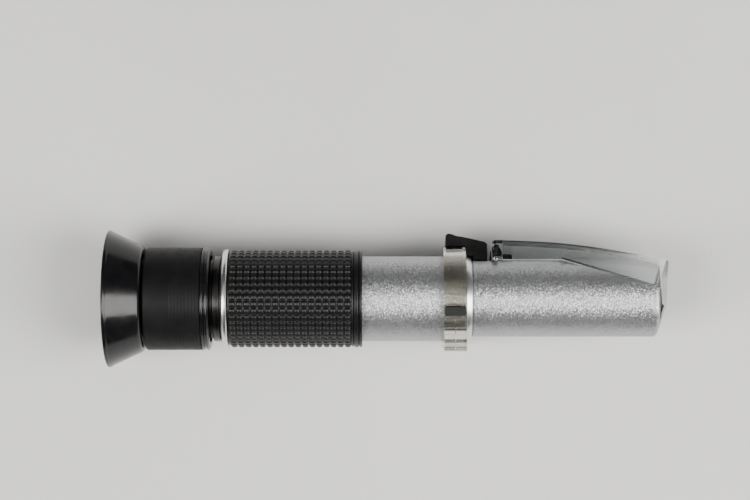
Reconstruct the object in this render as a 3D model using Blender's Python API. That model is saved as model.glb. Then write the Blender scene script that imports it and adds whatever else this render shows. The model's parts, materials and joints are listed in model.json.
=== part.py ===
"""A hand-held refractometer for wort and must, lying on its side with its axis level.

Every number is in millimetres until make_node scales it to metres.  The instrument is drawn in
its own frame: X runs along the optical axis from the mouth of the eyecup to the prism end, Z
points out of the side that carries the hinged daylight cover, and Y runs across.  One empty
then lays that frame down, turned by ROLL so that the cover leans a little towards the table.
"""

import math

import bmesh
import bpy
from mathutils import Matrix, Vector

MM = 0.001
GAP = 0.3

# Driving dimensions
LENGTH = 159.0
ROLL = math.radians(25.0)
EYECUP_RADIUS = 19.6
EYECUP_LENGTH = 10.3
FOCUS_RADIUS = 14.6
FOCUS_START = 10.9
FOCUS_END = 29.2
GRIP_START = 34.6
GRIP_END = 72.3
GRIP_RADIUS = 13.9
TUBE_RADIUS = 12.07
TUBE_BORE = 10.9
TUBE_START = 34.8
SHOULDER_START = 101.7
TUBE_END = 103.2
SPIGOT_RADIUS = TUBE_BORE - GAP
HEAD_RADIUS = 10.8
HEAD_START = 103.5
HEAD_END = 156.0
HEAD_INNER_END = 94.0
LENS_BORE = 9.6
CELL_RADIUS = LENS_BORE - GAP
OBJECTIVE_BORE = 8.6
EYEPIECE_MIDDLE = 20.0

# The oblique face, and where the prism and its gasket start and end along it
SLOPE_START = 119.9
SLOPE = math.atan(0.33)
PRISM_START = 12.5
PRISM_END = 34.5
PRISM_HALF_WIDTH = 6.0
GASKET_START = 11.2
GASKET_END = 35.8
GASKET_HALF_WIDTH = 7.1

# The daylight cover and its hinge
PIN_ALONG = 110.3
PIN_HEIGHT = 12.4
PIN_RADIUS = 0.7
COVER_HALF_WIDTH = 9.0
COVER_SKIRT = 1.1
COVER_SHEET = 1.5
EAR_END = 112.0
LIP_INNER = 156.4
LUG_HALF_WIDTH = 4.6

# The guard ring on the barrel, round on one half and square on the other
RING_START = 95.2
RING_END = 101.5
RING_RADIUS = 14.9
RING_BORE = TUBE_RADIUS + GAP
FOOT_REACH = 14.3
STUD_OFFSET = 3.05
STUD_HALF_WIDTH = 1.3
STUD_FLOOR = 13.9
STUD_TOP = 15.15
CAP_HALF_WIDTH = 4.5

SCREW_ALONG = 105.0
SCREW_RADIUS = 1.25
SCREW_MIDDLE = 9.5

BLACK_RUBBER = ((0.012, 0.012, 0.013), 0.55, 0.0)
BLACK_PLASTIC = ((0.015, 0.015, 0.016), 0.35, 0.0)
BLACK_METAL = ((0.03, 0.028, 0.026), 0.3, 0.9)
CHROME = ((0.75, 0.75, 0.76), 0.1, 1.0)
SILVER = ((0.55, 0.56, 0.58), 0.4, 0.8)
STEEL = ((0.6, 0.6, 0.6), 0.3, 1.0)
BRASS = ((0.7, 0.5, 0.22), 0.3, 1.0)
GLASS = ((0.85, 0.92, 0.95), 0.05, 0.0)
CLEAR = ((0.86, 0.84, 0.74), 0.1, 0.0)


def clear_scene():
    for item in list(bpy.data.objects):
        bpy.data.objects.remove(item, do_unlink=True)


def make_empty(name, parent, location):
    empty = bpy.data.objects.new(name, None)
    empty.empty_display_size = 0.01
    bpy.context.collection.objects.link(empty)
    empty.parent = parent
    empty.location = Vector(location) * MM
    return empty


def make_frame():
    """The empty that lays the instrument on its side, resting on the rim of the eyecup."""
    frame = make_empty("instrument_frame", None, (-LENGTH / 2.0, 0.0, EYECUP_RADIUS))
    frame.rotation_euler = (-(math.pi / 2.0 + ROLL), 0.0, 0.0)
    return frame


def make_material(name, finish):
    colour, roughness, metallic = finish
    material = bpy.data.materials.new(name)
    material.use_nodes = True
    shader = material.node_tree.nodes["Principled BSDF"]
    shader.inputs["Base Color"].default_value = (*colour, 1.0)
    shader.inputs["Roughness"].default_value = roughness
    shader.inputs["Metallic"].default_value = metallic
    return material


def make_node(name, bm, finish, holder, cutters=()):
    """Turn a bmesh drawn in millimetres into a named object whose origin is its holder's."""
    pivot = holder.location / MM if holder.parent else Vector((0.0, 0.0, 0.0))
    bmesh.ops.translate(bm, verts=bm.verts, vec=-pivot)
    bmesh.ops.scale(bm, verts=bm.verts, vec=(MM, MM, MM))
    bmesh.ops.recalc_face_normals(bm, faces=bm.faces)
    mesh = bpy.data.meshes.new(name)
    bm.to_mesh(mesh)
    bm.free()
    mesh.shade_smooth()
    mesh.set_sharp_from_angle(angle=math.radians(30.0))
    mesh.materials.append(make_material(name + "_finish", finish))
    node = bpy.data.objects.new(name, mesh)
    bpy.context.collection.objects.link(node)
    node.parent = holder
    for number, (operation, tool) in enumerate(cutters):
        cutter = make_cutter(f"{name}_tool_{number}", tool, holder, pivot)
        boolean = node.modifiers.new(cutter.name, "BOOLEAN")
        boolean.operation = operation
        boolean.solver = "EXACT"
        boolean.object = cutter
    return node


def make_cutter(name, bm, holder, pivot):
    bmesh.ops.translate(bm, verts=bm.verts, vec=-pivot)
    bmesh.ops.scale(bm, verts=bm.verts, vec=(MM, MM, MM))
    bmesh.ops.recalc_face_normals(bm, faces=bm.faces)
    mesh = bpy.data.meshes.new(name)
    bm.to_mesh(mesh)
    bm.free()
    cutter = bpy.data.objects.new(name, mesh)
    bpy.context.collection.objects.link(cutter)
    cutter.parent = holder
    cutter.hide_render = True
    cutter.display_type = "WIRE"
    return cutter


def turned(outline, segments=48):
    """A body turned about the optical axis from a closed outline of (along, radius) points."""
    bm = bmesh.new()
    rings = []
    for along, radius in outline:
        if radius == 0.0:
            rings.append([bm.verts.new((along, 0.0, 0.0))] * segments)
            continue
        ring = []
        for step in range(segments):
            angle = 2.0 * math.pi * step / segments
            ring.append(bm.verts.new((along, radius * math.cos(angle), radius * math.sin(angle))))
        rings.append(ring)
    for first, second in zip(rings, rings[1:] + rings[:1]):
        for step in range(segments):
            after = (step + 1) % segments
            corners = [first[step], first[after], second[after], second[step]]
            distinct = list(dict.fromkeys(corners))
            if len(distinct) > 2:
                bm.faces.new(distinct)
    return bm


def ring(start, end, inner, outer, segments=48):
    return turned([(start, outer), (end, outer), (end, inner), (start, inner)], segments)


def extruded(outline, half_width):
    """A plate whose outline lies in the XZ plane, as thick as twice half_width across Y."""
    bm = bmesh.new()
    near = [bm.verts.new((along, -half_width, height)) for along, height in outline]
    face = bm.faces.new(near)
    grown = bmesh.ops.extrude_face_region(bm, geom=[face])
    moved = [item for item in grown["geom"] if isinstance(item, bmesh.types.BMVert)]
    bmesh.ops.translate(bm, verts=moved, vec=(0.0, 2.0 * half_width, 0.0))
    return bm


def block(low, high):
    bm = bmesh.new()
    bmesh.ops.create_cube(bm, size=1.0)
    size = Vector(high) - Vector(low)
    bmesh.ops.scale(bm, verts=bm.verts, vec=size)
    bmesh.ops.translate(bm, verts=bm.verts, vec=(Vector(high) + Vector(low)) / 2.0)
    return bm


def rod(start, end, radius, segments=24):
    """A round bar between two points."""
    start = Vector(start)
    end = Vector(end)
    bm = bmesh.new()
    turn = (end - start).to_track_quat("Z", "Y").to_matrix().to_4x4()
    bmesh.ops.create_cone(
        bm, cap_ends=True, segments=segments, radius1=radius, radius2=radius,
        depth=(end - start).length, matrix=Matrix.Translation((start + end) / 2.0) @ turn)
    return bm


def arc(centre, radius, first, last, steps):
    points = []
    for step in range(steps + 1):
        angle = math.radians(first + (last - first) * step / steps)
        points.append((centre[0] + radius * math.cos(angle), centre[1] + radius * math.sin(angle)))
    return points


def lens_outline(front, rear, radius, front_bulge, rear_bulge, steps=4):
    """Half the section of a lens, from its front pole over its rim to its rear pole."""
    outline = []
    for step in range(steps + 1):
        out = step / steps
        outline.append((front - front_bulge * (1.0 - out * out), radius * out))
    for step in range(steps, -1, -1):
        out = step / steps
        outline.append((rear + rear_bulge * (1.0 - out * out), radius * out))
    return outline


def on_slope(distance, depth):
    """A point so far down the oblique face from its start, and so deep beneath it."""
    along = SLOPE_START + distance * math.cos(SLOPE) - depth * math.sin(SLOPE)
    height = HEAD_RADIUS - distance * math.sin(SLOPE) - depth * math.cos(SLOPE)
    return along, height


def slope_block(start, end, top, bottom, half_width):
    outline = [on_slope(start, top), on_slope(end, top), on_slope(end, bottom), on_slope(start, bottom)]
    return extruded(outline, half_width)


def turned_about_axis(bm, angle):
    bmesh.ops.rotate(bm, verts=bm.verts, cent=(0.0, 0.0, 0.0), matrix=Matrix.Rotation(angle, 3, "X"))
    return bm


def build_eyecup(focus):
    mouth = 17.9
    floor = 7.8
    hole = 11.3
    outline = [
        (0.0, EYECUP_RADIUS - 0.3), (0.3, EYECUP_RADIUS), (9.6, 15.3), (EYECUP_LENGTH, 14.6),
        (EYECUP_LENGTH, hole), (floor, hole), (floor, 14.0), (0.0, mouth)]
    make_node("eyecup", turned(outline, 72), BLACK_PLASTIC, focus)


def build_focus_barrel(focus):
    spigot = 11.0
    bore = 12.45
    outline = [
        (6.6, spigot), (FOCUS_START, spigot), (FOCUS_START, FOCUS_RADIUS - 0.4),
        (FOCUS_START + 0.4, FOCUS_RADIUS), (FOCUS_END - 0.3, FOCUS_RADIUS),
        (FOCUS_END, FOCUS_RADIUS - 0.3), (FOCUS_END, bore), (16.0, bore), (16.0, LENS_BORE),
        (6.6, LENS_BORE)]
    make_node("focus_barrel", turned(outline), BLACK_PLASTIC, focus)


def build_eyepiece_lenses(cell):
    seat = 7.6
    lens = seat - GAP
    outline = [
        (7.2, CELL_RADIUS), (27.0, CELL_RADIUS), (27.0, seat), (14.6, seat), (14.6, 6.4),
        (13.6, 6.4), (13.6, seat), (7.2, seat)]
    make_node("lens_cell", turned(outline, 36), BLACK_METAL, cell)
    make_node("eye_lens_retainer", ring(7.5, 9.3, 6.2, lens, 32), BLACK_METAL, cell)
    make_node("eye_lens", turned(lens_outline(10.4, 12.9, lens, 1.5, 0.8), 32), GLASS, cell)
    make_node("lens_spacer", ring(14.9, 19.6, 6.6, lens, 32), BLACK_METAL, cell)
    make_node("field_lens", turned(lens_outline(21.2, 23.4, lens, 1.2, 0.0), 32), GLASS, cell)
    make_node("field_lens_retainer", ring(23.8, 26.2, 6.2, lens, 32), BLACK_METAL, cell)


def build_guide_tube(frame):
    """The fixed tube that the focusing barrel turns on; its collar is the focusing stop."""
    body = 11.3
    collar = 12.05
    outline = [
        (19.2, body), (30.5, body), (30.5, collar), (32.1, collar), (32.1, body), (34.5, body),
        (34.5, SPIGOT_RADIUS), (45.0, SPIGOT_RADIUS), (45.0, LENS_BORE), (19.2, LENS_BORE)]
    make_node("guide_tube", turned(outline, 40), BLACK_METAL, frame)


def build_trim_ring(frame):
    outline = [
        (32.4, 12.5), (32.7, 13.1), (33.2, 13.7), (33.7, 14.1), (34.1, 14.1), (34.3, 13.9),
        (34.3, 11.6), (32.4, 11.6)]
    make_node("trim_ring", turned(outline), CHROME, frame)


def build_grip(frame):
    inner = TUBE_RADIUS + GAP
    outline = [
        (GRIP_START, 13.5), (GRIP_START + 0.3, GRIP_RADIUS), (69.3, GRIP_RADIUS), (69.7, 13.4),
        (70.1, GRIP_RADIUS), (71.2, GRIP_RADIUS), (71.5, 13.4), (71.8, GRIP_RADIUS),
        (GRIP_END, 13.6), (GRIP_END, inner), (GRIP_START, inner)]
    make_node("grip_sleeve", turned(outline), BLACK_RUBBER, frame)


def build_main_tube(frame):
    outline = [
        (TUBE_START, TUBE_RADIUS), (SHOULDER_START, TUBE_RADIUS), (TUBE_END, 11.4),
        (TUBE_END, TUBE_BORE), (TUBE_START, TUBE_BORE)]
    make_node("main_tube", turned(outline), SILVER, frame)


def build_reticle(frame):
    seat = 8.8
    stop = 7.6
    outline = [
        (45.4, SPIGOT_RADIUS), (52.0, SPIGOT_RADIUS), (52.0, stop), (48.3, stop), (48.3, seat),
        (45.4, seat)]
    make_node("reticle_holder", turned(outline, 36), BLACK_METAL, frame)
    glass = turned([(46.4, 0.0), (46.4, seat - GAP), (48.0, seat - GAP), (48.0, 0.0)], 32)
    make_node("reticle", glass, GLASS, frame)
    make_node("light_baffle", ring(74.0, 75.5, 6.0, SPIGOT_RADIUS, 36), BLACK_METAL, frame)


def prism_outline(margin):
    """The side view of the prism, or with a margin the pocket that it lies in."""
    rear_top = on_slope(PRISM_START - margin, -0.1 - 10.0 * margin)
    rear_mouth = on_slope(PRISM_START - margin, 0.0)
    front_top = on_slope(PRISM_END + margin, -0.1 - 10.0 * margin)
    front_low = on_slope(PRISM_END + margin, 3.0 + margin)
    rear_low = (133.5 - margin, -6.0 - margin)
    return [rear_low, rear_mouth, rear_top, front_top, front_low]


def build_prism(frame):
    face = [point for place, point in enumerate(prism_outline(0.0)) if place != 1]
    make_node("measuring_prism", extruded(face, PRISM_HALF_WIDTH), GLASS, frame)
    hole = slope_block(PRISM_START - GAP, PRISM_END + GAP, -2.0, 3.0, PRISM_HALF_WIDTH + GAP)
    gasket = slope_block(GASKET_START, GASKET_END, 0.05, 1.1, GASKET_HALF_WIDTH)
    make_node("prism_gasket", gasket, BLACK_RUBBER, frame, [("DIFFERENCE", hole)])


def build_prism_housing(frame):
    end_radius = 1.2
    light_bore = 5.5
    light_bore_start = 133.0
    objective_bore_end = 112.0
    outline = [
        (HEAD_INNER_END, SPIGOT_RADIUS), (HEAD_START, SPIGOT_RADIUS), (HEAD_START, HEAD_RADIUS),
        *arc((HEAD_END - end_radius, HEAD_RADIUS - end_radius), end_radius, 90.0, 0.0, 3),
        (HEAD_END, 0.0), (light_bore_start, 0.0), (light_bore_start, light_bore),
        (objective_bore_end, light_bore), (objective_bore_end, OBJECTIVE_BORE),
        (HEAD_INNER_END, OBJECTIVE_BORE)]
    above_slope = slope_block(-6.0, 48.0, -20.0, 0.0, 15.0)
    recess = slope_block(GASKET_START - GAP, GASKET_END + GAP, -4.0, 1.4, GASKET_HALF_WIDTH + GAP)
    pocket = extruded(prism_outline(GAP), PRISM_HALF_WIDTH + GAP)
    screw_hole = rod((SCREW_ALONG, 0.0, 6.0), (SCREW_ALONG, 0.0, 14.0), SCREW_RADIUS + GAP)
    cutters = [("DIFFERENCE", tool) for tool in (above_slope, recess, pocket, screw_hole)]
    make_node("prism_housing", turned(outline), SILVER, frame, cutters)


def pin_rod(half_length, radius):
    """A round bar on the cover's hinge axis."""
    return rod((PIN_ALONG, -half_length, PIN_HEIGHT), (PIN_ALONG, half_length, PIN_HEIGHT), radius, 20)


def build_hinge(frame):
    knuckle_radius = 1.5
    knuckle = arc((PIN_ALONG, PIN_HEIGHT), knuckle_radius, 180.0, 0.0, 10)
    outline = [(PIN_ALONG - knuckle_radius, 9.0), *knuckle, (112.2, 11.9), (115.0, 11.6), (115.0, 9.0)]
    saddle = ring(100.0, 120.0, 4.0, HEAD_RADIUS + GAP)
    cutters = [("DIFFERENCE", saddle), ("DIFFERENCE", pin_rod(12.0, PIN_RADIUS + 0.25))]
    make_node("hinge_block", extruded(outline, LUG_HALF_WIDTH), BLACK_PLASTIC, frame, cutters)
    pin = pin_rod(COVER_HALF_WIDTH - 0.2, PIN_RADIUS)
    make_node("hinge_pin", pin, STEEL, frame)


def cover_top(drop, start, end):
    """The cover's gently bowed top edge between two places, lowered by drop."""
    points = []
    for along, height in ((118.8, 14.0), (127.9, 13.4), (136.9, 12.3), (145.9, 10.7)):
        points.append((along, height - drop))
    return [(start, 14.3 - drop), *points, (end, 8.2 - drop)]


def build_cover(flap):
    skirt = 8.2
    rise = 0.37
    skirt_bend = SLOPE_START + (HEAD_RADIUS + rise - skirt) / math.tan(SLOPE)
    lip_foot = HEAD_RADIUS + rise - (LIP_INNER - SLOPE_START) * math.tan(SLOPE)
    rear = PIN_ALONG - 1.3
    outline = [
        (rear, skirt), (rear, 13.4), *cover_top(0.0, rear + 0.7, 158.4), (LENGTH, 7.5),
        (157.6, -5.4), (157.0, -6.0), (LIP_INNER, -5.4), (LIP_INNER, lip_foot),
        (skirt_bend, skirt)]
    inside = [
        (EAR_END, -3.0), *cover_top(COVER_SHEET, EAR_END, LIP_INNER), (LIP_INNER, -3.0)]
    hollow = extruded(inside, COVER_HALF_WIDTH - COVER_SKIRT)
    notch_side = LUG_HALF_WIDTH + GAP
    notch = block((100.0, -notch_side, 5.0), (EAR_END + 0.3, notch_side, 20.0))
    head_clearance = ring(100.0, EAR_END + 0.2, 4.0, 11.35)
    cutters = [hollow, notch, head_clearance, pin_rod(12.0, PIN_RADIUS + GAP)]
    cutters = [("DIFFERENCE", tool) for tool in cutters]
    make_node("daylight_cover", extruded(outline, COVER_HALF_WIDTH), CLEAR, flap, cutters)
    plate = slope_block(9.0, 36.4, -1.65, -0.45, COVER_HALF_WIDTH - COVER_SKIRT - GAP)
    make_node("contact_plate", plate, CLEAR, flap)


def build_guard_ring(guard):
    """A clear ring with a square foot, a black stud in its flat and the cap over the screw."""
    corner = 1.0
    foot = FOOT_REACH - corner
    flat = RING_RADIUS - corner
    section = [
        *arc((0.0, 0.0), RING_RADIUS, 90.0, -90.0, 24),
        *arc((-foot, -flat), corner, 270.0, 180.0, 3),
        *arc((-foot, flat), corner, 180.0, 90.0, 3)]
    bm = bmesh.new()
    near = [bm.verts.new((RING_START, side, height)) for side, height in section]
    grown = bmesh.ops.extrude_face_region(bm, geom=[bm.faces.new(near)])
    moved = [item for item in grown["geom"] if isinstance(item, bmesh.types.BMVert)]
    bmesh.ops.translate(bm, verts=moved, vec=(RING_END - RING_START, 0.0, 0.0))
    to_instrument = math.pi / 2.0 + ROLL
    turned_about_axis(bm, to_instrument)
    bore = turned([(80.0, 0.0), (80.0, RING_BORE), (120.0, RING_BORE), (120.0, 0.0)])
    slot_half = STUD_HALF_WIDTH + GAP
    slot = block((90.0, -STUD_OFFSET - slot_half, STUD_FLOOR), (110.0, -STUD_OFFSET + slot_half, 20.0))
    turned_about_axis(slot, to_instrument)
    cutters = [("DIFFERENCE", bore), ("DIFFERENCE", slot)]
    make_node("guard_ring", bm, CLEAR, guard, cutters)
    stud = block(
        (RING_START + 0.2, -STUD_OFFSET - STUD_HALF_WIDTH, STUD_FLOOR + GAP),
        (RING_END - 0.2, -STUD_OFFSET + STUD_HALF_WIDTH, STUD_TOP))
    turned_about_axis(stud, to_instrument)
    make_node("guard_stud", stud, BLACK_RUBBER, guard)
    outline = [
        (96.1, 10.0), (96.1, 17.9), (96.8, 18.6), (107.3, 15.9), (108.0, 15.2), (108.0, 10.0)]
    below = turned([
        (90.0, 0.0), (90.0, RING_RADIUS + GAP), (RING_END + GAP, RING_RADIUS + GAP),
        (RING_END + GAP, TUBE_RADIUS + GAP), (103.9, TUBE_RADIUS + GAP),
        (103.9, HEAD_RADIUS + GAP), (110.0, HEAD_RADIUS + GAP), (110.0, 0.0)])
    cap = extruded(outline, CAP_HALF_WIDTH)
    make_node("calibration_cap", cap, BLACK_RUBBER, guard, [("DIFFERENCE", below)])


def build_calibration(screw, objective, frame):
    slot = block((SCREW_ALONG - 3.0, -0.25, SCREW_MIDDLE + 0.4), (SCREW_ALONG + 3.0, 0.25, 12.0))
    grub = rod(
        (SCREW_ALONG, 0.0, SCREW_MIDDLE - 1.0), (SCREW_ALONG, 0.0, SCREW_MIDDLE + 1.0), SCREW_RADIUS)
    make_node("calibration_screw", grub, STEEL, screw, [("DIFFERENCE", slot)])
    seat = 6.3
    lens = seat - GAP
    outline = [(97.0, 8.0), (108.0, 8.0), (108.0, 5.2), (106.8, 5.2), (106.8, seat), (97.0, seat)]
    make_node("objective_cell", turned(outline, 36), BRASS, objective)
    glass = turned(lens_outline(103.8, 106.2, lens, 0.8, 0.8), 32)
    make_node("objective_lens", glass, GLASS, objective)
    make_node("objective_retainer", ring(101.0, 102.6, 5.2, lens, 32), BRASS, objective)
    strip = block((84.5, -2.2, -7.6), (96.7, 2.2, -7.0))
    make_node("bimetal_strip", strip, BRASS, objective)
    make_node("strip_anchor", block((84.5, -3.0, -10.0), (88.5, 3.0, -8.15)), STEEL, frame)


def main():
    clear_scene()
    frame = make_frame()
    cell = make_empty("eyepiece_slide_axis", frame, (EYEPIECE_MIDDLE, 0.0, 0.0))
    focus = make_empty("focus_axis", frame, (EYEPIECE_MIDDLE, 0.0, 0.0))
    guard = make_empty("guard_ring_axis", frame, (RING_START, 0.0, 0.0))
    flap = make_empty("cover_hinge_axis", frame, (PIN_ALONG, 0.0, PIN_HEIGHT))
    screw = make_empty("calibration_axis", frame, (SCREW_ALONG, 0.0, SCREW_MIDDLE))
    objective = make_empty("objective_axis", frame, (SCREW_ALONG, 0.0, 0.0))
    build_eyecup(focus)
    build_focus_barrel(focus)
    build_eyepiece_lenses(cell)
    build_guide_tube(frame)
    build_trim_ring(frame)
    build_grip(frame)
    build_main_tube(frame)
    build_reticle(frame)
    build_prism(frame)
    build_prism_housing(frame)
    build_hinge(frame)
    build_cover(flap)
    build_guard_ring(guard)
    build_calibration(screw, objective, frame)


main()
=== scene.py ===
"""The looks of the hand refractometer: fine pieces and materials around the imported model.

Lengths are in millimetres in the instrument's own frame, as in the design: X along the optical
axis from the eyecup's mouth, Z out of the side with the daylight cover, Y across.  The matrix LAY
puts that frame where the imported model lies.
"""

import json
import math

import bmesh
import bpy
from mathutils import Matrix, Vector


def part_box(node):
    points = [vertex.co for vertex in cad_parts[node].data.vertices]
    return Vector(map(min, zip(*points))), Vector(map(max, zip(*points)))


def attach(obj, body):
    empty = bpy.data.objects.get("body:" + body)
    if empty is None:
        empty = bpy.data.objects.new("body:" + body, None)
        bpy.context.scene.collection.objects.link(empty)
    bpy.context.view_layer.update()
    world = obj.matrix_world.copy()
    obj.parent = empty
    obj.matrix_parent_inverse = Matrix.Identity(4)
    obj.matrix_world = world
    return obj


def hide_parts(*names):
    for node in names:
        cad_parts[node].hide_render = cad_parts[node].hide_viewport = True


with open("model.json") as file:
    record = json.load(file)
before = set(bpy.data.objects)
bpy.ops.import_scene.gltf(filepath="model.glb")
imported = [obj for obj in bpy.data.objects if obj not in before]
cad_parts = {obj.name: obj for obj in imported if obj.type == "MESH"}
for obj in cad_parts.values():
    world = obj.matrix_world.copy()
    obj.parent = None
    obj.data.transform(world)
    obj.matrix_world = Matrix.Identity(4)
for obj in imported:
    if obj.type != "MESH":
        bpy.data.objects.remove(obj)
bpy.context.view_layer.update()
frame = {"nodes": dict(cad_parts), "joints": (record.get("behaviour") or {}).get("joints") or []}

MM = 0.001
GAP = 0.3
hinge_axis = next(joint["axis"] for joint in frame["joints"] if joint["name"] == "cover_hinge")
ROLL = math.atan2(hinge_axis[1], hinge_axis[2])
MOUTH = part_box("eyecup")[0].x
AXIS_HEIGHT = (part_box("eyecup")[0].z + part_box("eyecup")[1].z) / 2.0
UPRIGHT_TURN = math.pi / 2.0 + ROLL
LAY = Matrix.Translation((MOUTH, 0.0, AXIS_HEIGHT)) @ Matrix.Rotation(-UPRIGHT_TURN, 4, "X")


def reach(node):
    """Where a node starts and ends along the axis, in millimetres from the eyecup's mouth."""
    low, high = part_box(node)
    return (low.x - MOUTH) / MM, (high.x - MOUTH) / MM


EYECUP_END = reach("eyecup")[1]
FOCUS_START = 10.9
FOCUS_END = reach("focus_barrel")[1]
GRIP_START, GRIP_END = reach("grip_sleeve")
TUBE_START, TUBE_END = reach("main_tube")
RING_START, RING_END = reach("guard_ring")
HEAD_END = reach("prism_housing")[1]
COVER_END = reach("daylight_cover")[1]

EYECUP_RADIUS = 19.6
FOCUS_RADIUS = 14.6
GRIP_RADIUS = 13.9
TUBE_RADIUS = 12.07
TUBE_BORE = 10.9
HEAD_START = 103.5
HEAD_RADIUS = 10.8
RING_RADIUS = 14.9
FOOT_REACH = 14.3
SHOULDER_START = 101.7
LENS_BORE = 9.6
EYECUP_BORE = 11.3
BEAD_RADIUS = 0.45
GUIDE_COLLAR_RADIUS = 12.15
SLOPE_START = 119.9
SLOPE = math.atan(0.33)
PIN_ALONG = 110.3
PIN_HEIGHT = 12.4
PIN_RADIUS = 0.7
PRISM_START = 12.5
PRISM_END = 34.5
PRISM_HALF_WIDTH = 6.0
GASKET_START = 11.2
GASKET_END = 35.8
GASKET_DEPTH = 1.1
GASKET_HALF_WIDTH = 7.1
COVER_HALF_WIDTH = 9.0
COVER_WALL = 1.1
COVER_SHEET = 1.5
EAR_END = 112.0
LUG_HALF_WIDTH = 4.6
SCREW_ALONG = 105.0
SCREW_RADIUS = 1.25
STUD_OFFSET = 3.05
STUD_HALF_WIDTH = 1.3
STUD_FLOOR = 13.9
STUD_TOP = 15.15
CAP_HALF_WIDTH = 4.5
ON_AXIS = 0.001
WARM_WHITE = (1.0, 0.985, 0.955)


# Materials

class Nodes:
    """A short way to write a material's node tree."""

    def __init__(self, name, colour, roughness, metallic=0.0):
        self.material = bpy.data.materials.new(name)
        self.material.use_nodes = True
        self.tree = self.material.node_tree
        self.shader = self.tree.nodes["Principled BSDF"]
        self.shader.inputs["Base Color"].default_value = (*colour, 1.0)
        self.shader.inputs["Roughness"].default_value = roughness
        self.shader.inputs["Metallic"].default_value = metallic
        self.place = self.add("ShaderNodeTexCoord").outputs["Object"]

    def add(self, kind, **values):
        node = self.tree.nodes.new(kind)
        for key, value in values.items():
            setattr(node, key, value)
        return node

    def link(self, source, target):
        self.tree.links.new(source, target)

    def stretched(self, scale):
        mapping = self.add("ShaderNodeMapping")
        mapping.inputs["Scale"].default_value = scale
        self.link(self.place, mapping.inputs["Vector"])
        return mapping.outputs["Vector"]

    def noise(self, scale, detail=3.0, roughness=0.55, vector=None):
        node = self.add("ShaderNodeTexNoise")
        node.inputs["Scale"].default_value = scale
        node.inputs["Detail"].default_value = detail
        node.inputs["Roughness"].default_value = roughness
        self.link(vector or self.place, node.inputs["Vector"])
        return node.outputs["Fac"]

    def cells(self, scale, output="Distance"):
        node = self.add("ShaderNodeTexVoronoi")
        node.inputs["Scale"].default_value = scale
        self.link(self.place, node.inputs["Vector"])
        return node.outputs[output]

    def ramp(self, factor, stops):
        node = self.add("ShaderNodeValToRGB")
        while len(node.color_ramp.elements) < len(stops):
            node.color_ramp.elements.new(0.5)
        for element, (position, colour) in zip(node.color_ramp.elements, stops):
            element.position = position
            element.color = (*colour, 1.0)
        self.link(factor, node.inputs["Fac"])
        return node.outputs["Color"]

    def spread(self, factor, low, high, start=0.3, end=0.7):
        node = self.add("ShaderNodeMapRange")
        node.inputs["From Min"].default_value = start
        node.inputs["From Max"].default_value = end
        node.inputs["To Min"].default_value = low
        node.inputs["To Max"].default_value = high
        self.link(factor, node.inputs["Value"])
        return node.outputs["Result"]

    def dull(self, level):
        """Lower the mirror-like share of the light that the surface sends back."""
        self.shader.inputs["Specular IOR Level"].default_value = level

    def colour(self, source):
        self.link(source, self.shader.inputs["Base Color"])

    def rough(self, source):
        self.link(source, self.shader.inputs["Roughness"])

    def bump(self, height, distance, strength=1.0, after=None):
        node = self.add("ShaderNodeBump")
        node.inputs["Strength"].default_value = strength
        node.inputs["Distance"].default_value = distance * MM
        self.link(height, node.inputs["Height"])
        if after is not None:
            self.link(after, node.inputs["Normal"])
        self.link(node.outputs["Normal"], self.shader.inputs["Normal"])
        return node.outputs["Normal"]

    def flakes(self, scale, lean, normal):
        """Give each small cell of the surface its own lean away from the normal."""
        centred = self.add("ShaderNodeVectorMath", operation="SUBTRACT")
        centred.inputs[1].default_value = (0.5, 0.5, 0.5)
        self.link(self.cells(scale, "Color"), centred.inputs[0])
        leaned = self.add("ShaderNodeVectorMath", operation="MULTIPLY_ADD")
        leaned.inputs[1].default_value = (lean, lean, lean)
        self.link(centred.outputs["Vector"], leaned.inputs[0])
        self.link(normal, leaned.inputs[2])
        unit = self.add("ShaderNodeVectorMath", operation="NORMALIZE")
        self.link(leaned.outputs["Vector"], unit.inputs[0])
        self.link(unit.outputs["Vector"], self.shader.inputs["Normal"])


def per_mm(count):
    """A texture scale that repeats so many times in a millimetre."""
    return count / MM


def silver_paint():
    """Rough metallic paint whose tiny flakes each lean their own way and glitter."""
    nodes = Nodes("silver_paint", (0.42, 0.425, 0.44), 0.37, 0.92)
    tone = nodes.noise(per_mm(0.5), 5.0, 0.6)
    nodes.colour(nodes.ramp(tone, [(0.3, (0.40, 0.405, 0.42)), (0.7, (0.45, 0.455, 0.47))]))
    nodes.rough(nodes.spread(nodes.noise(per_mm(1.2)), 0.33, 0.41))
    peel = nodes.bump(nodes.noise(per_mm(0.8), 3.0), 0.02, 0.5)
    nodes.flakes(per_mm(5.2), 0.46, peel)
    return nodes.material


def gloss_black():
    nodes = Nodes("gloss_black_plastic", (0.004, 0.004, 0.0045), 0.16)
    nodes.dull(0.4)
    haze = nodes.noise(per_mm(0.25), 5.0)
    nodes.rough(nodes.spread(haze, 0.12, 0.24))
    nodes.colour(nodes.ramp(haze, [(0.3, (0.003, 0.003, 0.0035)), (0.8, (0.006, 0.006, 0.007))]))
    nodes.bump(nodes.noise(per_mm(0.9), 3.0), 0.006, 0.35)
    return nodes.material


def satin_black():
    nodes = Nodes("satin_black_plastic", (0.005, 0.005, 0.0055), 0.48)
    nodes.dull(0.14)
    nodes.rough(nodes.spread(nodes.noise(per_mm(0.4), 4.0), 0.42, 0.54))
    tone = nodes.noise(per_mm(0.15))
    nodes.colour(nodes.ramp(tone, [(0.3, (0.004, 0.004, 0.0045)), (0.7, (0.007, 0.007, 0.0075))]))
    nodes.bump(nodes.noise(per_mm(5.0), 2.0), 0.006, 0.3)
    return nodes.material


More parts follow.
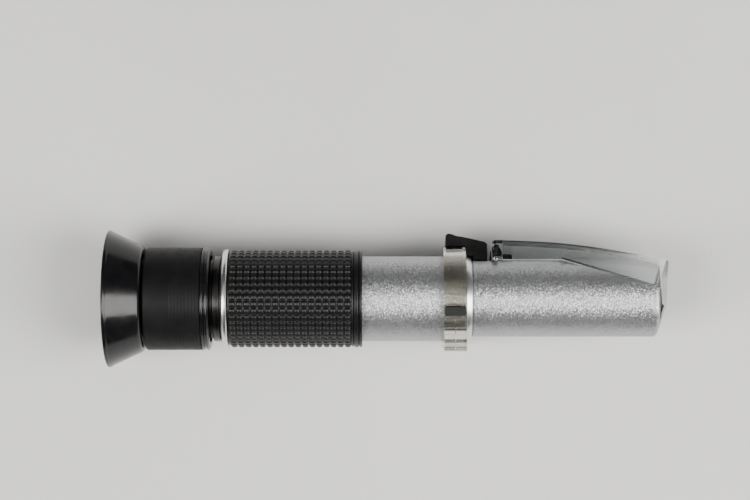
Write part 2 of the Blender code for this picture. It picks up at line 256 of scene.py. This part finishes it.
def grip_rubber():
    nodes = Nodes("grip_rubber", (0.005, 0.005, 0.0055), 0.32)
    nodes.dull(0.28)
    nodes.rough(nodes.spread(nodes.noise(per_mm(1.2), 4.0), 0.26, 0.38))
    dust = nodes.noise(per_mm(0.35), 6.0, 0.7)
    nodes.colour(nodes.ramp(dust, [(0.35, (0.004, 0.004, 0.0045)), (0.75, (0.009, 0.009, 0.0095))]))
    nodes.bump(nodes.noise(per_mm(6.0), 2.0), 0.006, 0.3)
    return nodes.material


def soft_rubber():
    nodes = Nodes("black_rubber", (0.005, 0.005, 0.005), 0.55)
    nodes.dull(0.3)
    nodes.rough(nodes.spread(nodes.noise(per_mm(0.8), 5.0), 0.45, 0.65))
    dust = nodes.noise(per_mm(0.3))
    nodes.colour(nodes.ramp(dust, [(0.3, (0.004, 0.004, 0.004)), (0.8, (0.009, 0.009, 0.0095))]))
    nodes.bump(nodes.noise(per_mm(4.0), 3.0), 0.03, 0.4)
    return nodes.material


def turned_metal(name, dark, bright, roughness, lines=6.0):
    """Metal from a lathe: fine rings round the axis, a little different in tone."""
    nodes = Nodes(name, bright, roughness, 1.0)
    rings = nodes.noise(1.0, 2.0, 0.6, nodes.stretched((per_mm(lines), 30.0, 30.0)))
    nodes.colour(nodes.ramp(rings, [(0.3, dark), (0.7, bright)]))
    nodes.rough(nodes.spread(rings, roughness * 0.8, roughness * 1.35))
    nodes.bump(rings, 0.01, 0.3)
    return nodes.material


def brushed_metal(name, dark, bright, roughness):
    nodes = Nodes(name, bright, roughness, 1.0)
    grain = nodes.noise(per_mm(1.5), 5.0, 0.7)
    nodes.colour(nodes.ramp(grain, [(0.3, dark), (0.7, bright)]))
    nodes.rough(nodes.spread(grain, roughness * 0.8, roughness * 1.4))
    nodes.bump(nodes.noise(per_mm(6.0)), 0.01, 0.3)
    return nodes.material


def clear(name, colour, roughness, ior, haze=0.04, ripple=0.003):
    nodes = Nodes(name, colour, roughness)
    nodes.shader.inputs["Transmission Weight"].default_value = 1.0
    nodes.shader.inputs["IOR"].default_value = ior
    smear = nodes.noise(per_mm(0.2), 5.0, 0.6)
    nodes.rough(nodes.spread(smear, roughness, roughness + haze))
    tint = tuple(channel * 0.96 for channel in colour)
    nodes.colour(nodes.ramp(smear, [(0.3, tint), (0.7, colour)]))
    nodes.bump(nodes.noise(per_mm(0.2), 2.0), ripple, 0.2)
    return nodes.material


def milky_edge():
    """The eased edges of the acrylic, which scatter the light that runs inside the sheet."""
    nodes = Nodes("milky_acrylic_edge", (0.92, 0.94, 0.94), 0.3)
    nodes.shader.inputs["Transmission Weight"].default_value = 0.25
    nodes.shader.inputs["IOR"].default_value = 1.49
    nodes.rough(nodes.spread(nodes.noise(per_mm(0.8), 4.0), 0.24, 0.4))
    return nodes.material


def floor_paint():
    nodes = Nodes("pale_floor", (0.66, 0.66, 0.655), 0.7)
    tone = nodes.noise(9.0, 4.0)
    nodes.colour(nodes.ramp(tone, [(0.3, (0.64, 0.64, 0.635)), (0.7, (0.68, 0.68, 0.675))]))
    nodes.bump(nodes.noise(900.0, 3.0), 0.05, 0.15)
    return nodes.material


SILVER = silver_paint()
GLOSS = gloss_black()
SATIN = satin_black()
GRIP = grip_rubber()
RUBBER = soft_rubber()
CHROME = turned_metal("chrome", (0.72, 0.70, 0.66), (0.86, 0.85, 0.82), 0.24, 3.0)
BRIGHT = turned_metal("turned_aluminium", (0.66, 0.66, 0.67), (0.86, 0.86, 0.87), 0.28)
DARK_METAL = turned_metal("dark_anodised_metal", (0.035, 0.035, 0.034), (0.070, 0.070, 0.068), 0.27)
BRASS = turned_metal("turned_brass", (0.45, 0.31, 0.12), (0.72, 0.52, 0.24), 0.25)
STEEL = brushed_metal("steel", (0.42, 0.42, 0.43), (0.62, 0.62, 0.63), 0.28)
ACRYLIC = clear("clear_acrylic", (0.86, 0.88, 0.88), 0.02, 1.49)
FROSTED = clear("frosted_acrylic", (0.92, 0.94, 0.95), 0.16, 1.49, 0.1)
EDGE = milky_edge()
TINTED = clear("tinted_clear_plastic", (0.80, 0.785, 0.70), 0.07, 1.49, 0.06)
GLASS = clear("optical_glass", (0.90, 0.95, 0.96), 0.0, 1.6, 0.01, 0.0005)
LENS = clear("coated_lens", (0.80, 0.88, 0.97), 0.0, 1.52, 0.01, 0.0003)


# Shapes

def turned(outline, segments=144):
    """A body turned about the axis from a closed outline of (along, radius) points."""
    bm = bmesh.new()
    rings = []
    for along, radius in outline:
        if radius < ON_AXIS:
            rings.append([bm.verts.new((along, 0.0, 0.0))] * segments)
            continue
        ring = []
        for step in range(segments):
            angle = 2.0 * math.pi * step / segments
            ring.append(bm.verts.new((along, radius * math.cos(angle), radius * math.sin(angle))))
        rings.append(ring)
    join_rings(bm, rings)
    return bm


def join_rings(bm, rings):
    count = len(rings[0])
    for first, second in zip(rings, rings[1:] + rings[:1]):
        for step in range(count):
            after = (step + 1) % count
            corners = [first[step], first[after], second[after], second[step]]
            distinct = list(dict.fromkeys(corners))
            if len(distinct) > 2:
                bm.faces.new(distinct)


def rounded(points, radius, steps=3):
    """A closed outline with its corners eased by a small curve; points on the axis stay."""
    eased = []
    count = len(points)
    for place, (x, y) in enumerate(points):
        previous = points[place - 1]
        following = points[(place + 1) % count]
        if y < ON_AXIS and min(previous[1], following[1]) < ON_AXIS:
            eased.append((x, y))
            continue
        here = Vector((x, y))
        before = Vector(previous) - here
        after = Vector(following) - here
        near = here + before.normalized() * min(radius, before.length * 0.42)
        far = here + after.normalized() * min(radius, after.length * 0.42)
        for step in range(steps + 1):
            t = step / steps
            curve = near * (1.0 - t) ** 2 + here * 2.0 * t * (1.0 - t) + far * t ** 2
            eased.append((curve.x, curve.y))
    return eased


def extruded(outline, half_width):
    """A plate whose outline lies in the XZ plane, as thick as twice half_width across Y."""
    bm = bmesh.new()
    face = bm.faces.new([bm.verts.new((along, -half_width, height)) for along, height in outline])
    grow(bm, face, (0.0, 2.0 * half_width, 0.0))
    return bm


def section_bar(outline, start, end):
    """A bar along the axis whose section is an outline of (Y, Z) points."""
    bm = bmesh.new()
    face = bm.faces.new([bm.verts.new((start, side, height)) for side, height in outline])
    grow(bm, face, (end - start, 0.0, 0.0))
    return bm


def grow(bm, face, move):
    grown = bmesh.ops.extrude_face_region(bm, geom=[face])
    moved = [item for item in grown["geom"] if isinstance(item, bmesh.types.BMVert)]
    bmesh.ops.translate(bm, verts=moved, vec=move)


def block(low, high):
    bm = bmesh.new()
    bmesh.ops.create_cube(bm, size=1.0)
    bmesh.ops.scale(bm, verts=bm.verts, vec=Vector(high) - Vector(low))
    bmesh.ops.translate(bm, verts=bm.verts, vec=(Vector(high) + Vector(low)) / 2.0)
    return bm


def rod(start, end, radius, segments=48):
    start = Vector(start)
    end = Vector(end)
    bm = bmesh.new()
    turn = (end - start).to_track_quat("Z", "Y").to_matrix().to_4x4()
    bmesh.ops.create_cone(
        bm, cap_ends=True, segments=segments, radius1=radius, radius2=radius,
        depth=(end - start).length, matrix=Matrix.Translation((start + end) / 2.0) @ turn)
    return bm


def upright(bm):
    """Turn what was drawn with the table's up and across into the instrument's frame."""
    turn = Matrix.Rotation(UPRIGHT_TURN, 3, "X")
    bmesh.ops.rotate(bm, verts=bm.verts, cent=(0.0, 0.0, 0.0), matrix=turn)
    return bm


def arc(centre, radius, first, last, steps):
    points = []
    for step in range(steps + 1):
        angle = math.radians(first + (last - first) * step / steps)
        points.append((centre[0] + radius * math.cos(angle), centre[1] + radius * math.sin(angle)))
    return points


def flowing(points, steps=5):
    """A smooth line through the points."""
    padded = [points[0], *points, points[-1]]
    line = []
    for place in range(len(points) - 1):
        a, b, c, d = (Vector(point) for point in padded[place:place + 4])
        for step in range(steps):
            t = step / steps
            spot = 0.5 * (2.0 * b + (c - a) * t + (2.0 * a - 5.0 * b + 4.0 * c - d) * t * t
                          + (3.0 * b - a - 3.0 * c + d) * t ** 3)
            line.append((spot.x, spot.y))
    line.append(tuple(points[-1]))
    return line


def on_slope(distance, depth):
    """A point at a distance down the head's oblique face and at a depth below it."""
    along = SLOPE_START + distance * math.cos(SLOPE) - depth * math.sin(SLOPE)
    height = HEAD_RADIUS - distance * math.sin(SLOPE) - depth * math.cos(SLOPE)
    return along, height


def slope_block(start, end, top, bottom, half_width):
    outline = [on_slope(start, top), on_slope(end, top), on_slope(end, bottom), on_slope(start, bottom)]
    return extruded(outline, half_width)


def to_object(name, bm):
    bmesh.ops.scale(bm, verts=bm.verts, vec=(MM, MM, MM))
    bmesh.ops.recalc_face_normals(bm, faces=bm.faces)
    bm.transform(LAY)
    mesh = bpy.data.meshes.new(name)
    bm.to_mesh(mesh)
    bm.free()
    made = bpy.data.objects.new(name, mesh)
    bpy.context.collection.objects.link(made)
    return made


def cut(piece, tool):
    """Cut a tool's shape out of a piece, with an object that make() removes again."""
    cutter = to_object(f"{piece.name}_tool_{len(piece.modifiers)}", tool)
    boolean = piece.modifiers.new(cutter.name, "BOOLEAN")
    boolean.operation = "DIFFERENCE"
    boolean.solver = "EXACT"
    boolean.object = cutter
    return cutter


def apply_modifiers(piece):
    bpy.context.view_layer.update()
    evaluated = piece.evaluated_get(bpy.context.evaluated_depsgraph_get())
    shaped = bpy.data.meshes.new_from_object(evaluated)
    piece.modifiers.clear()
    piece.data = shaped


def make(
        name, bm, material, body, nodes, cutters=(), bevel=0.0, sharp=35.0,
        edge_material=None, drills=()):
    """A finished piece: cut, its edges eased, drilled, smooth, and riding on its body."""
    piece = to_object(name, bm)
    piece.data.materials.append(material)
    if edge_material:
        piece.data.materials.append(edge_material)
    tools = [cut(piece, tool) for tool in cutters]
    if bevel:
        edge = piece.modifiers.new("eased_edges", "BEVEL")
        edge.width = bevel * MM
        edge.segments = 3
        edge.limit_method = "ANGLE"
        edge.angle_limit = math.radians(32.0)
        edge.use_clamp_overlap = True
        edge.material = 1 if edge_material else -1
    tools += [cut(piece, tool) for tool in drills]
    apply_modifiers(piece)
    for cutter in tools:
        bpy.data.objects.remove(cutter, do_unlink=True)
    piece.data.shade_smooth()
    piece.data.set_sharp_from_angle(angle=math.radians(sharp))
    if bevel:
        normals = piece.modifiers.new("flat_faces_stay_flat", "WEIGHTED_NORMAL")
        normals.keep_sharp = True
        apply_modifiers(piece)
    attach(piece, body)
    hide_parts(*nodes)
    return piece


# Eyepiece end

def make_eyecup():
    outline = rounded([
        (0.0, EYECUP_RADIUS - 0.3), (0.35, EYECUP_RADIUS), (1.0, 19.35), (1.25, 19.12), (9.7, 15.2),
        (EYECUP_END, 14.5), (EYECUP_END, EYECUP_BORE), (7.8, EYECUP_BORE), (7.8, 13.95),
        (0.0, 17.9)], 0.35)
    make("eyecup_shell", turned(outline, 192), GLOSS, "focus_ring", ["eyecup"])


def make_focus_barrel():
    """A smooth band and fine turned grooves, then a glossier end with two raised beads."""
    radius = FOCUS_RADIUS
    start = 6.6
    step = 26.8
    spigot = EYECUP_BORE - GAP
    bore = GUIDE_COLLAR_RADIUS + GAP
    bore_start = 16.0
    first_groove = 18.5
    groove_pitch = 0.96
    groove_reach = 0.2
    groove_depth = 0.08
    grooves = []
    for number in range(9):
        middle = first_groove + groove_pitch * number
        grooves += [
            (middle - groove_reach, radius), (middle, radius - groove_depth),
            (middle + groove_reach, radius)]
    outline = rounded([
        (start, spigot), (FOCUS_START, spigot), (FOCUS_START, radius - 0.4),
        (FOCUS_START + 0.4, radius), *grooves, (step, radius), (step, bore), (bore_start, bore),
        (bore_start, LENS_BORE), (start, LENS_BORE)], 0.08)
    make("focus_barrel_turned", turned(outline), SATIN, "focus_ring", ["focus_barrel"])
    beads = []
    for middle in (27.35, 28.5):
        beads += arc((middle, radius - BEAD_RADIUS), BEAD_RADIUS, 165.0, 15.0, 8)
    outline = [
        (step, bore), (step, radius - 0.4), *beads, (29.0, radius - BEAD_RADIUS),
        (FOCUS_END, radius - 0.65), (FOCUS_END, bore)]
    make("focus_barrel_beads", turned(outline), GLOSS, "focus_ring", ["focus_barrel"])


def lens_outline(front, rear, radius, front_bulge, rear_bulge, steps=12):
    """The section of a lens between its rims, each face bulging out by its own amount."""
    outline = []
    for step in range(steps + 1):
        out = step / steps
        outline.append((front - front_bulge * (1.0 - out * out), radius * out))
    for step in range(steps, -1, -1):
        out = step / steps
        outline.append((rear + rear_bulge * (1.0 - out * out), radius * out))
    return outline


def spanner_slots(start, end, inner, outer):
    """Two slots opposite each other, for the tool that turns a retaining ring."""
    half = 0.5
    beyond = outer + 0.2
    return [
        block((start, inner - half, -half), (end, beyond, half)),
        block((start, -beyond, -half), (end, half - inner, half))]


def make_eyepiece():
    cell = LENS_BORE - GAP
    seat = 7.6
    lens = seat - GAP
    start = 7.2
    end = 27.0
    flange_start = 13.6
    flange_end = 14.6
    flange = 6.4
    outline = rounded([
        (start, cell), (end, cell), (end, seat), (flange_end, seat), (flange_end, flange),
        (flange_start, flange), (flange_start, seat), (start, seat)], 0.15)
    make("lens_cell_turned", turned(outline), DARK_METAL, "eyepiece", ["lens_cell"])
    eye = turned(lens_outline(10.4, 12.9, lens, 1.5, 0.8), 96)
    make("eye_lens_glass", eye, LENS, "eyepiece", ["eye_lens"])
    field = turned(lens_outline(21.2, 23.4, lens, 1.2, 0.0), 96)
    make("field_lens_glass", field, LENS, "eyepiece", ["field_lens"])
    window = 6.2
    outline = rounded([(7.5, lens), (9.3, lens), (9.3, window), (7.5, window)], 0.15)
    slots = spanner_slots(7.0, 8.1, window, lens)
    make(
        "eye_lens_ring", turned(outline, 96), DARK_METAL, "eyepiece", ["eye_lens_retainer"],
        slots)


def make_guide_tube():
    """A thin tube with a collar, which shows in the gap behind the focusing barrel."""
    start = 19.2
    end = 45.0
    wall = 11.3
    collar = GUIDE_COLLAR_RADIUS
    collar_start = 30.2
    collar_end = 32.2
    ease = 0.2
    neck_start = 34.5
    neck = TUBE_BORE - GAP
    outline = rounded([
        (start, wall), (collar_start, wall), (collar_start, collar - ease),
        (collar_start + ease, collar), (collar_end - ease, collar), (collar_end, collar - ease),
        (collar_end, wall), (neck_start, wall), (neck_start, neck), (end, neck),
        (end, LENS_BORE), (start, LENS_BORE)], 0.12)
    make("guide_tube_turned", turned(outline), DARK_METAL, "root", ["guide_tube"])


def make_trim_ring():
    """A ring whose front is a quarter of an ellipse."""
    start = 32.5
    end = 34.3
    bore = 11.6
    quarter = arc((0.0, 0.0), 1.0, 180.0, 90.0, 12)
    dome = [(33.75 + 1.25 * across, 12.7 + 1.4 * up) for across, up in quarter]
    outline = [(start, bore), *dome, (34.05, 14.07), (end, 13.85), (end, bore)]
    make("trim_ring_turned", turned(outline, 192), CHROME, "root", ["trim_ring"])


# Grip

def make_grip():
    """A rubber sleeve with a grid of raised pads, then a smooth end with two beads."""
    columns = 17
    rows = 42
    pads_start = GRIP_START + 0.35
    pads_end = 69.2
    floor_radius = GRIP_RADIUS - 0.62
    inner = TUBE_RADIUS + GAP
    lines = (0.0, 0.08, 0.14, 0.24, 0.37, 0.5, 0.63, 0.76, 0.86, 0.92)
    pitch = (pads_end - pads_start) / columns
    stations = [(GRIP_START, GRIP_RADIUS - 0.75, None), (GRIP_START + 0.12, floor_radius, None)]
    for column in range(columns):
        for line in lines:
            stations.append((pads_start + pitch * (column + line), floor_radius, 2.0 * line - 1.0))
    profile = rounded([
        (pads_end, floor_radius), (69.35, GRIP_RADIUS - 0.25), (69.75, GRIP_RADIUS - 0.25),
        (69.95, GRIP_RADIUS - 0.7),
        (70.15, GRIP_RADIUS - 0.05), (71.15, GRIP_RADIUS - 0.05), (71.4, GRIP_RADIUS - 0.65),
        (71.6, GRIP_RADIUS - 0.05), (GRIP_END, GRIP_RADIUS - 0.15), (GRIP_END, inner)], 0.25)
    stations += [(along, radius, None) for along, radius in profile[2:-3]]
    stations += [(GRIP_END, inner, None), (GRIP_START, inner, None)]
    bm = bmesh.new()
    rings = []
    for along, radius, across in stations:
        ring = []
        for row in range(rows):
            for line in lines:
                angle = 2.0 * math.pi * (row + line) / rows
                out = radius + pad_height(across, 2.0 * line - 1.0)
                ring.append(bm.verts.new((along, out * math.cos(angle), out * math.sin(angle))))
        rings.append(ring)
    join_rings(bm, rings)
    make("grip_rubber_sleeve", bm, GRIP, "root", ["grip_sleeve"], sharp=80.0)


def pad_height(across, around):
    """How far a pad stands up at a place in its cell, each measured from -1 to 1."""
    if across is None:
        return 0.0
    corner = (across ** 4 + around ** 4) ** 0.25
    share = min(1.0, max(0.0, (0.88 - corner) / 0.18))
    dome = max(0.0, 1.0 - across ** 2) * max(0.0, 1.0 - 0.6 * around ** 2)
    return 0.26 * share * share * (3.0 - 2.0 * share) + 0.34 * dome * share


# Barrel and head

def make_barrel():
    """The painted tube and, behind a hairline seam, its bright conical shoulder."""
    painted_end = SHOULDER_START - 0.05
    outline = rounded([
        (TUBE_START, TUBE_RADIUS), (painted_end, TUBE_RADIUS), (painted_end, TUBE_BORE),
        (TUBE_START, TUBE_BORE)], 0.1)
    make("barrel_tube", turned(outline), SILVER, "root", ["main_tube"])
    collar = rounded([
        (SHOULDER_START, 11.95), (TUBE_END, 11.35), (TUBE_END, TUBE_BORE),
        (SHOULDER_START, TUBE_BORE)], 0.1)
    make("barrel_shoulder", turned(collar), BRIGHT, "root", ["main_tube"])


def prism_outline(margin):
    """The prism's side, grown by a margin for the pocket, which is open above the slope."""
    top = -0.1 - 10.0 * margin
    rear_top = on_slope(PRISM_START - margin, top)
    rear_mouth = on_slope(PRISM_START - margin, 0.0)
    front_top = on_slope(PRISM_END + margin, top)
    front_low = on_slope(PRISM_END + margin, 3.0 + margin)
    rear_low = (133.5 - margin, -6.0 - margin)
    return [rear_low, rear_mouth, rear_top, front_top, front_low]


def make_head():
    """The casting with its bores, oblique face and recesses, then the prism and its gasket."""
    spigot_start = 94.0
    spigot = TUBE_BORE - GAP
    objective_bore = 8.6
    objective_end = 112.0
    light_bore = 5.5
    light_end = 133.0
    rear_round = 0.3
    nose_round = 1.2
    outline = [
        (spigot_start, spigot), (HEAD_START, spigot),
        *arc((HEAD_START + rear_round, HEAD_RADIUS - rear_round), rear_round, 180.0, 90.0, 3),
        *arc((HEAD_END - nose_round, HEAD_RADIUS - nose_round), nose_round, 90.0, 0.0, 8),
        (HEAD_END, 0.0), (light_end, 0.0), (light_end, light_bore), (objective_end, light_bore),
        (objective_end, objective_bore), (spigot_start, objective_bore)]
    face = slope_block(-6.0, 48.0, -20.0, 0.0, 15.0)
    recess = slope_block(
        GASKET_START - GAP, GASKET_END + GAP, -4.0, GASKET_DEPTH + GAP, GASKET_HALF_WIDTH + GAP)
    pocket = extruded(prism_outline(GAP), PRISM_HALF_WIDTH + GAP)
    screw_hole = rod((SCREW_ALONG, 0.0, 6.0), (SCREW_ALONG, 0.0, 14.0), SCREW_RADIUS + GAP)
    cutters = [face, recess, pocket, screw_hole]
    casting = turned(outline)
    make("head_casting", casting, SILVER, "root", ["prism_housing"], cutters, 0.16)
    glass = [point for place, point in enumerate(prism_outline(0.0)) if place != 1]
    prism = extruded(glass, PRISM_HALF_WIDTH)
    make("prism_glass", prism, GLASS, "root", ["measuring_prism"], bevel=0.25)
    hole = slope_block(PRISM_START - GAP, PRISM_END + GAP, -2.0, 3.0, PRISM_HALF_WIDTH + GAP)
    gasket = slope_block(GASKET_START, GASKET_END, 0.05, GASKET_DEPTH, GASKET_HALF_WIDTH)
    make("prism_frame", gasket, RUBBER, "root", ["prism_gasket"], [hole], 0.15)


def hinge_rod(half_length, radius):
    """A round bar on the cover's hinge axis, for the pin and the holes round it."""
    return rod(
        (PIN_ALONG, -half_length, PIN_HEIGHT), (PIN_ALONG, half_length, PIN_HEIGHT), radius)


def saddle_under(end, radius):
    """The room that the round head takes up, out to a radius and along to an end."""
    start = 100.0
    inner = 4.0
    return turned([(start, radius), (end, radius), (end, inner), (start, inner)])


def make_hinge():
    """The lug, saddled on the head, and the pin through it."""
    knuckle_radius = 1.5
    foot = 9.0
    lug_end = 115.0
    knuckle = arc((PIN_ALONG, PIN_HEIGHT), knuckle_radius, 180.0, 0.0, 24)
    outline = [
        (PIN_ALONG - knuckle_radius, foot), *knuckle, (112.2, 11.9), (lug_end, 11.6),
        (lug_end, foot)]
    cutters = [saddle_under(120.0, HEAD_RADIUS + GAP), hinge_rod(12.0, PIN_RADIUS + 0.25)]
    lug = extruded(outline, LUG_HALF_WIDTH)
    make("hinge_lug", lug, SATIN, "root", ["hinge_block"], cutters, 0.18)
    pin = hinge_rod(COVER_HALF_WIDTH - 0.2, PIN_RADIUS)
    make("hinge_pin_steel", pin, DARK_METAL, "root", ["hinge_pin"], bevel=0.15)


# Daylight cover

def cover_top(drop, start, end):
    """The cover's long curved back, lowered by a drop."""
    middle = [(118.8, 14.0), (127.9, 13.4), (136.9, 12.3), (145.9, 10.7)]
    line = [(start, 14.3), *middle, (end, 8.2)]
    return [(along, height - drop) for along, height in flowing(line)]


def make_cover():
    """A clear shell with ears on the pin, skirts along the slope and a lip over the nose."""
    lip = 156.4
    skirt = 8.2
    rise = 0.37
    rear = PIN_ALONG - 1.3
    ease = 1.1
    bend = SLOPE_START + (HEAD_RADIUS + rise - skirt) / math.tan(SLOPE)
    lip_foot = HEAD_RADIUS + rise - (lip - SLOPE_START) * math.tan(SLOPE)
    outline = [
        (rear, skirt), *arc((rear + ease, 13.2), ease, 180.0, 90.0, 6),
        *cover_top(0.0, rear + 1.6, COVER_END - 0.6)[1:],
        (COVER_END, 7.4), (157.6, -5.4), (157.0, -6.0), (lip, -5.4), (lip, lip_foot),
        (bend, skirt)]
    inside = [(EAR_END, -3.0), *cover_top(COVER_SHEET, EAR_END, lip), (lip, -3.0)]
    room = LUG_HALF_WIDTH + GAP
    notch = block((100.0, -room, 5.0), (EAR_END + GAP, room, 20.0))
    clearance = saddle_under(EAR_END + 0.2, 11.35)
    cutters = [extruded(inside, COVER_HALF_WIDTH - COVER_WALL), notch, clearance]
    shell = extruded(outline, COVER_HALF_WIDTH)
    make(
        "daylight_cover_shell", shell, ACRYLIC, "flap", ["daylight_cover"],
        cutters, 0.25, edge_material=EDGE, drills=[hinge_rod(12.0, PIN_RADIUS + 0.06)])
    plate = slope_block(9.0, 36.4, -1.65, -0.45, 7.6)
    make("contact_plate_frosted", plate, FROSTED, "flap", ["contact_plate"], bevel=0.2)


# Guard ring

def make_guard_ring():
    """A clear ring with a square foot, a waist round its rim and mould seams."""
    corner = 1.0
    foot = FOOT_REACH - corner
    flat = RING_RADIUS - corner
    section = [
        *arc((0.0, 0.0), RING_RADIUS, 90.0, -90.0, 72),
        *arc((-foot, -flat), corner, 270.0, 180.0, 6), *arc((-foot, flat), corner, 180.0, 90.0, 6)]
    inside = TUBE_RADIUS + GAP
    bore = turned([(80.0, 0.0), (80.0, inside), (120.0, inside), (120.0, 0.0)])
    slot_half = STUD_HALF_WIDTH + GAP
    slot = block((90.0, -STUD_OFFSET - slot_half, STUD_FLOOR), (110.0, -STUD_OFFSET + slot_half, 20.0))
    beyond = 16.5
    recess = RING_RADIUS - 0.3
    rim = 0.85
    waist = section_bar(
        [*arc((0.0, 0.0), beyond, 93.0, -84.0, 60), *arc((0.0, 0.0), recess, -84.0, 93.0, 60)],
        RING_START + rim, RING_END - rim)
    middle = (RING_START + RING_END) / 2.0
    seam = 0.12
    depth = 0.2
    seam_floor = RING_RADIUS - depth
    seam_end = -STUD_OFFSET - slot_half - 0.5
    seams = [
        block((middle - seam, -16.0, seam_floor), (middle + seam, seam_end, beyond)),
        block((middle - seam, -16.0, -12.0), (middle + seam, depth - FOOT_REACH, 12.0)),
        block((RING_START - 1.0, -9.75, seam_floor), (RING_END + 1.0, -9.5, beyond))]
    cutters = [bore, upright(slot), upright(waist), *(upright(line) for line in seams)]
    bar = upright(section_bar(section, RING_START, RING_END))
    make(
        "guard_ring_clear", bar, TINTED, "guard", ["guard_ring"],
        cutters, 0.22)
    make_guard_stud()
    make_calibration_cap()


def make_guard_stud():
    """A rubber stud with round corners and eased edges."""
    radius = 0.55
    low, high = RING_START + 0.15, RING_END - 0.15
    near, far = -STUD_OFFSET - STUD_HALF_WIDTH, -STUD_OFFSET + STUD_HALF_WIDTH
    outline = [
        *arc((high - radius, far - radius), radius, 90.0, 0.0, 6),
        *arc((high - radius, near + radius), radius, 0.0, -90.0, 6),
        *arc((low + radius, near + radius), radius, 270.0, 180.0, 6),
        *arc((low + radius, far - radius), radius, 180.0, 90.0, 6)]
    bm = bmesh.new()
    face = bm.faces.new([bm.verts.new((along, side, STUD_FLOOR + GAP)) for along, side in outline])
    grow(bm, face, (0.0, 0.0, STUD_TOP - STUD_FLOOR - GAP))
    make("guard_stud_rubber", upright(bm), RUBBER, "guard", ["guard_stud"], bevel=0.3)


def make_calibration_cap():
    """The rubber wedge that covers the calibration screw, with a thumb groove across its back."""
    start = 96.1
    end = 108.0
    foot = 10.0
    groove = flowing([(98.0, 18.3), (99.4, 17.75), (100.8, 17.55)], 4)
    outline = [
        (start, foot), (start, 17.9), (96.8, 18.6), *groove, (107.3, 15.9), (end, 15.2),
        (end, foot)]
    over_ring = RING_RADIUS + GAP
    over_tube = TUBE_RADIUS + GAP
    over_head = HEAD_RADIUS + GAP
    ring_side = RING_END + GAP
    head_side = 103.9
    below = turned([
        (90.0, 0.0), (90.0, over_ring), (ring_side, over_ring), (ring_side, over_tube),
        (head_side, over_tube), (head_side, over_head), (110.0, over_head), (110.0, 0.0)])
    cap = extruded(outline, CAP_HALF_WIDTH)
    make(
        "calibration_cap_rubber", cap, RUBBER, "guard", ["calibration_cap"],
        [below], 0.4)


def make_screw():
    """The slotted grub screw under the cap, which shifts the objective."""
    slot = block((SCREW_ALONG - 3.0, -0.25, 9.9), (SCREW_ALONG + 3.0, 0.25, 12.0))
    grub = rod((SCREW_ALONG, 0.0, 8.5), (SCREW_ALONG, 0.0, 10.5), SCREW_RADIUS)
    make(
        "calibration_screw_steel", grub, STEEL, "adjuster", ["calibration_screw"],
        [slot], 0.12)


def dress_inner_nodes():
    """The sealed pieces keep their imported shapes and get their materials."""
    finishes = {
        "lens_spacer": DARK_METAL, "field_lens_retainer": DARK_METAL, "reticle_holder": DARK_METAL,
        "light_baffle": DARK_METAL, "reticle": GLASS, "objective_cell": BRASS, "objective_lens": LENS,
        "objective_retainer": BRASS, "bimetal_strip": BRASS, "strip_anchor": STEEL}
    for node, material in finishes.items():
        shown = frame["nodes"][node]
        shown.data.materials.clear()
        shown.data.materials.append(material)


# Camera, floor and light

def make_camera():
    """Straight above the instrument, looking down, with the cover's side towards the top."""
    data = bpy.data.cameras.new("camera")
    data.lens = 101.0
    data.sensor_width = 36.0
    camera = bpy.data.objects.new("camera", data)
    bpy.context.collection.objects.link(camera)
    camera.location = (MOUTH + 75.9 * MM, 0.0139, AXIS_HEIGHT + 0.6)
    bpy.context.scene.camera = camera


def make_floor():
    bm = bmesh.new()
    bmesh.ops.create_grid(bm, x_segments=1, y_segments=1, size=2.0)
    mesh = bpy.data.meshes.new("floor")
    bm.to_mesh(mesh)
    bm.free()
    floor = bpy.data.objects.new("floor", mesh)
    bpy.context.collection.objects.link(floor)
    floor.data.materials.append(floor_paint())


def softbox(name, location, target, size, power):
    data = bpy.data.lights.new(name, "AREA")
    data.shape = "RECTANGLE"
    data.size, data.size_y = size
    data.energy = power
    data.color = WARM_WHITE
    light = bpy.data.objects.new(name, data)
    bpy.context.collection.objects.link(light)
    light.location = location
    aim = Vector(target) - Vector(location)
    light.rotation_euler = aim.to_track_quat("-Z", "Y").to_euler()


def make_lights():
    """Two wide softboxes beyond the ends of the instrument, a long key and a faint fill above it."""
    centre = (0.0, 0.0, AXIS_HEIGHT)
    softbox("right_light", (0.58, -0.15, 0.64), centre, (0.52, 0.78), 11.5)
    softbox("left_light", (-0.58, -0.15, 0.64), centre, (0.36, 0.78), 8.5)
    softbox("key_light", (0.0, -0.22, 1.0), centre, (0.9, 0.24), 2.5)
    softbox("top_fill", (0.0, 0.3, 1.1), centre, (1.2, 0.8), 1.0)
    world = bpy.data.worlds.new("soft_world")
    world.use_nodes = True
    world.node_tree.nodes["Background"].inputs["Color"].default_value = (0.9, 0.93, 1.0, 1.0)
    world.node_tree.nodes["Background"].inputs["Strength"].default_value = 0.08
    bpy.context.scene.world = world


make_camera()
make_eyecup()
make_focus_barrel()
make_eyepiece()
make_guide_tube()
make_trim_ring()
make_grip()
make_barrel()
make_head()
make_hinge()
make_cover()
make_guard_ring()
make_screw()
dress_inner_nodes()
make_floor()
make_lights()
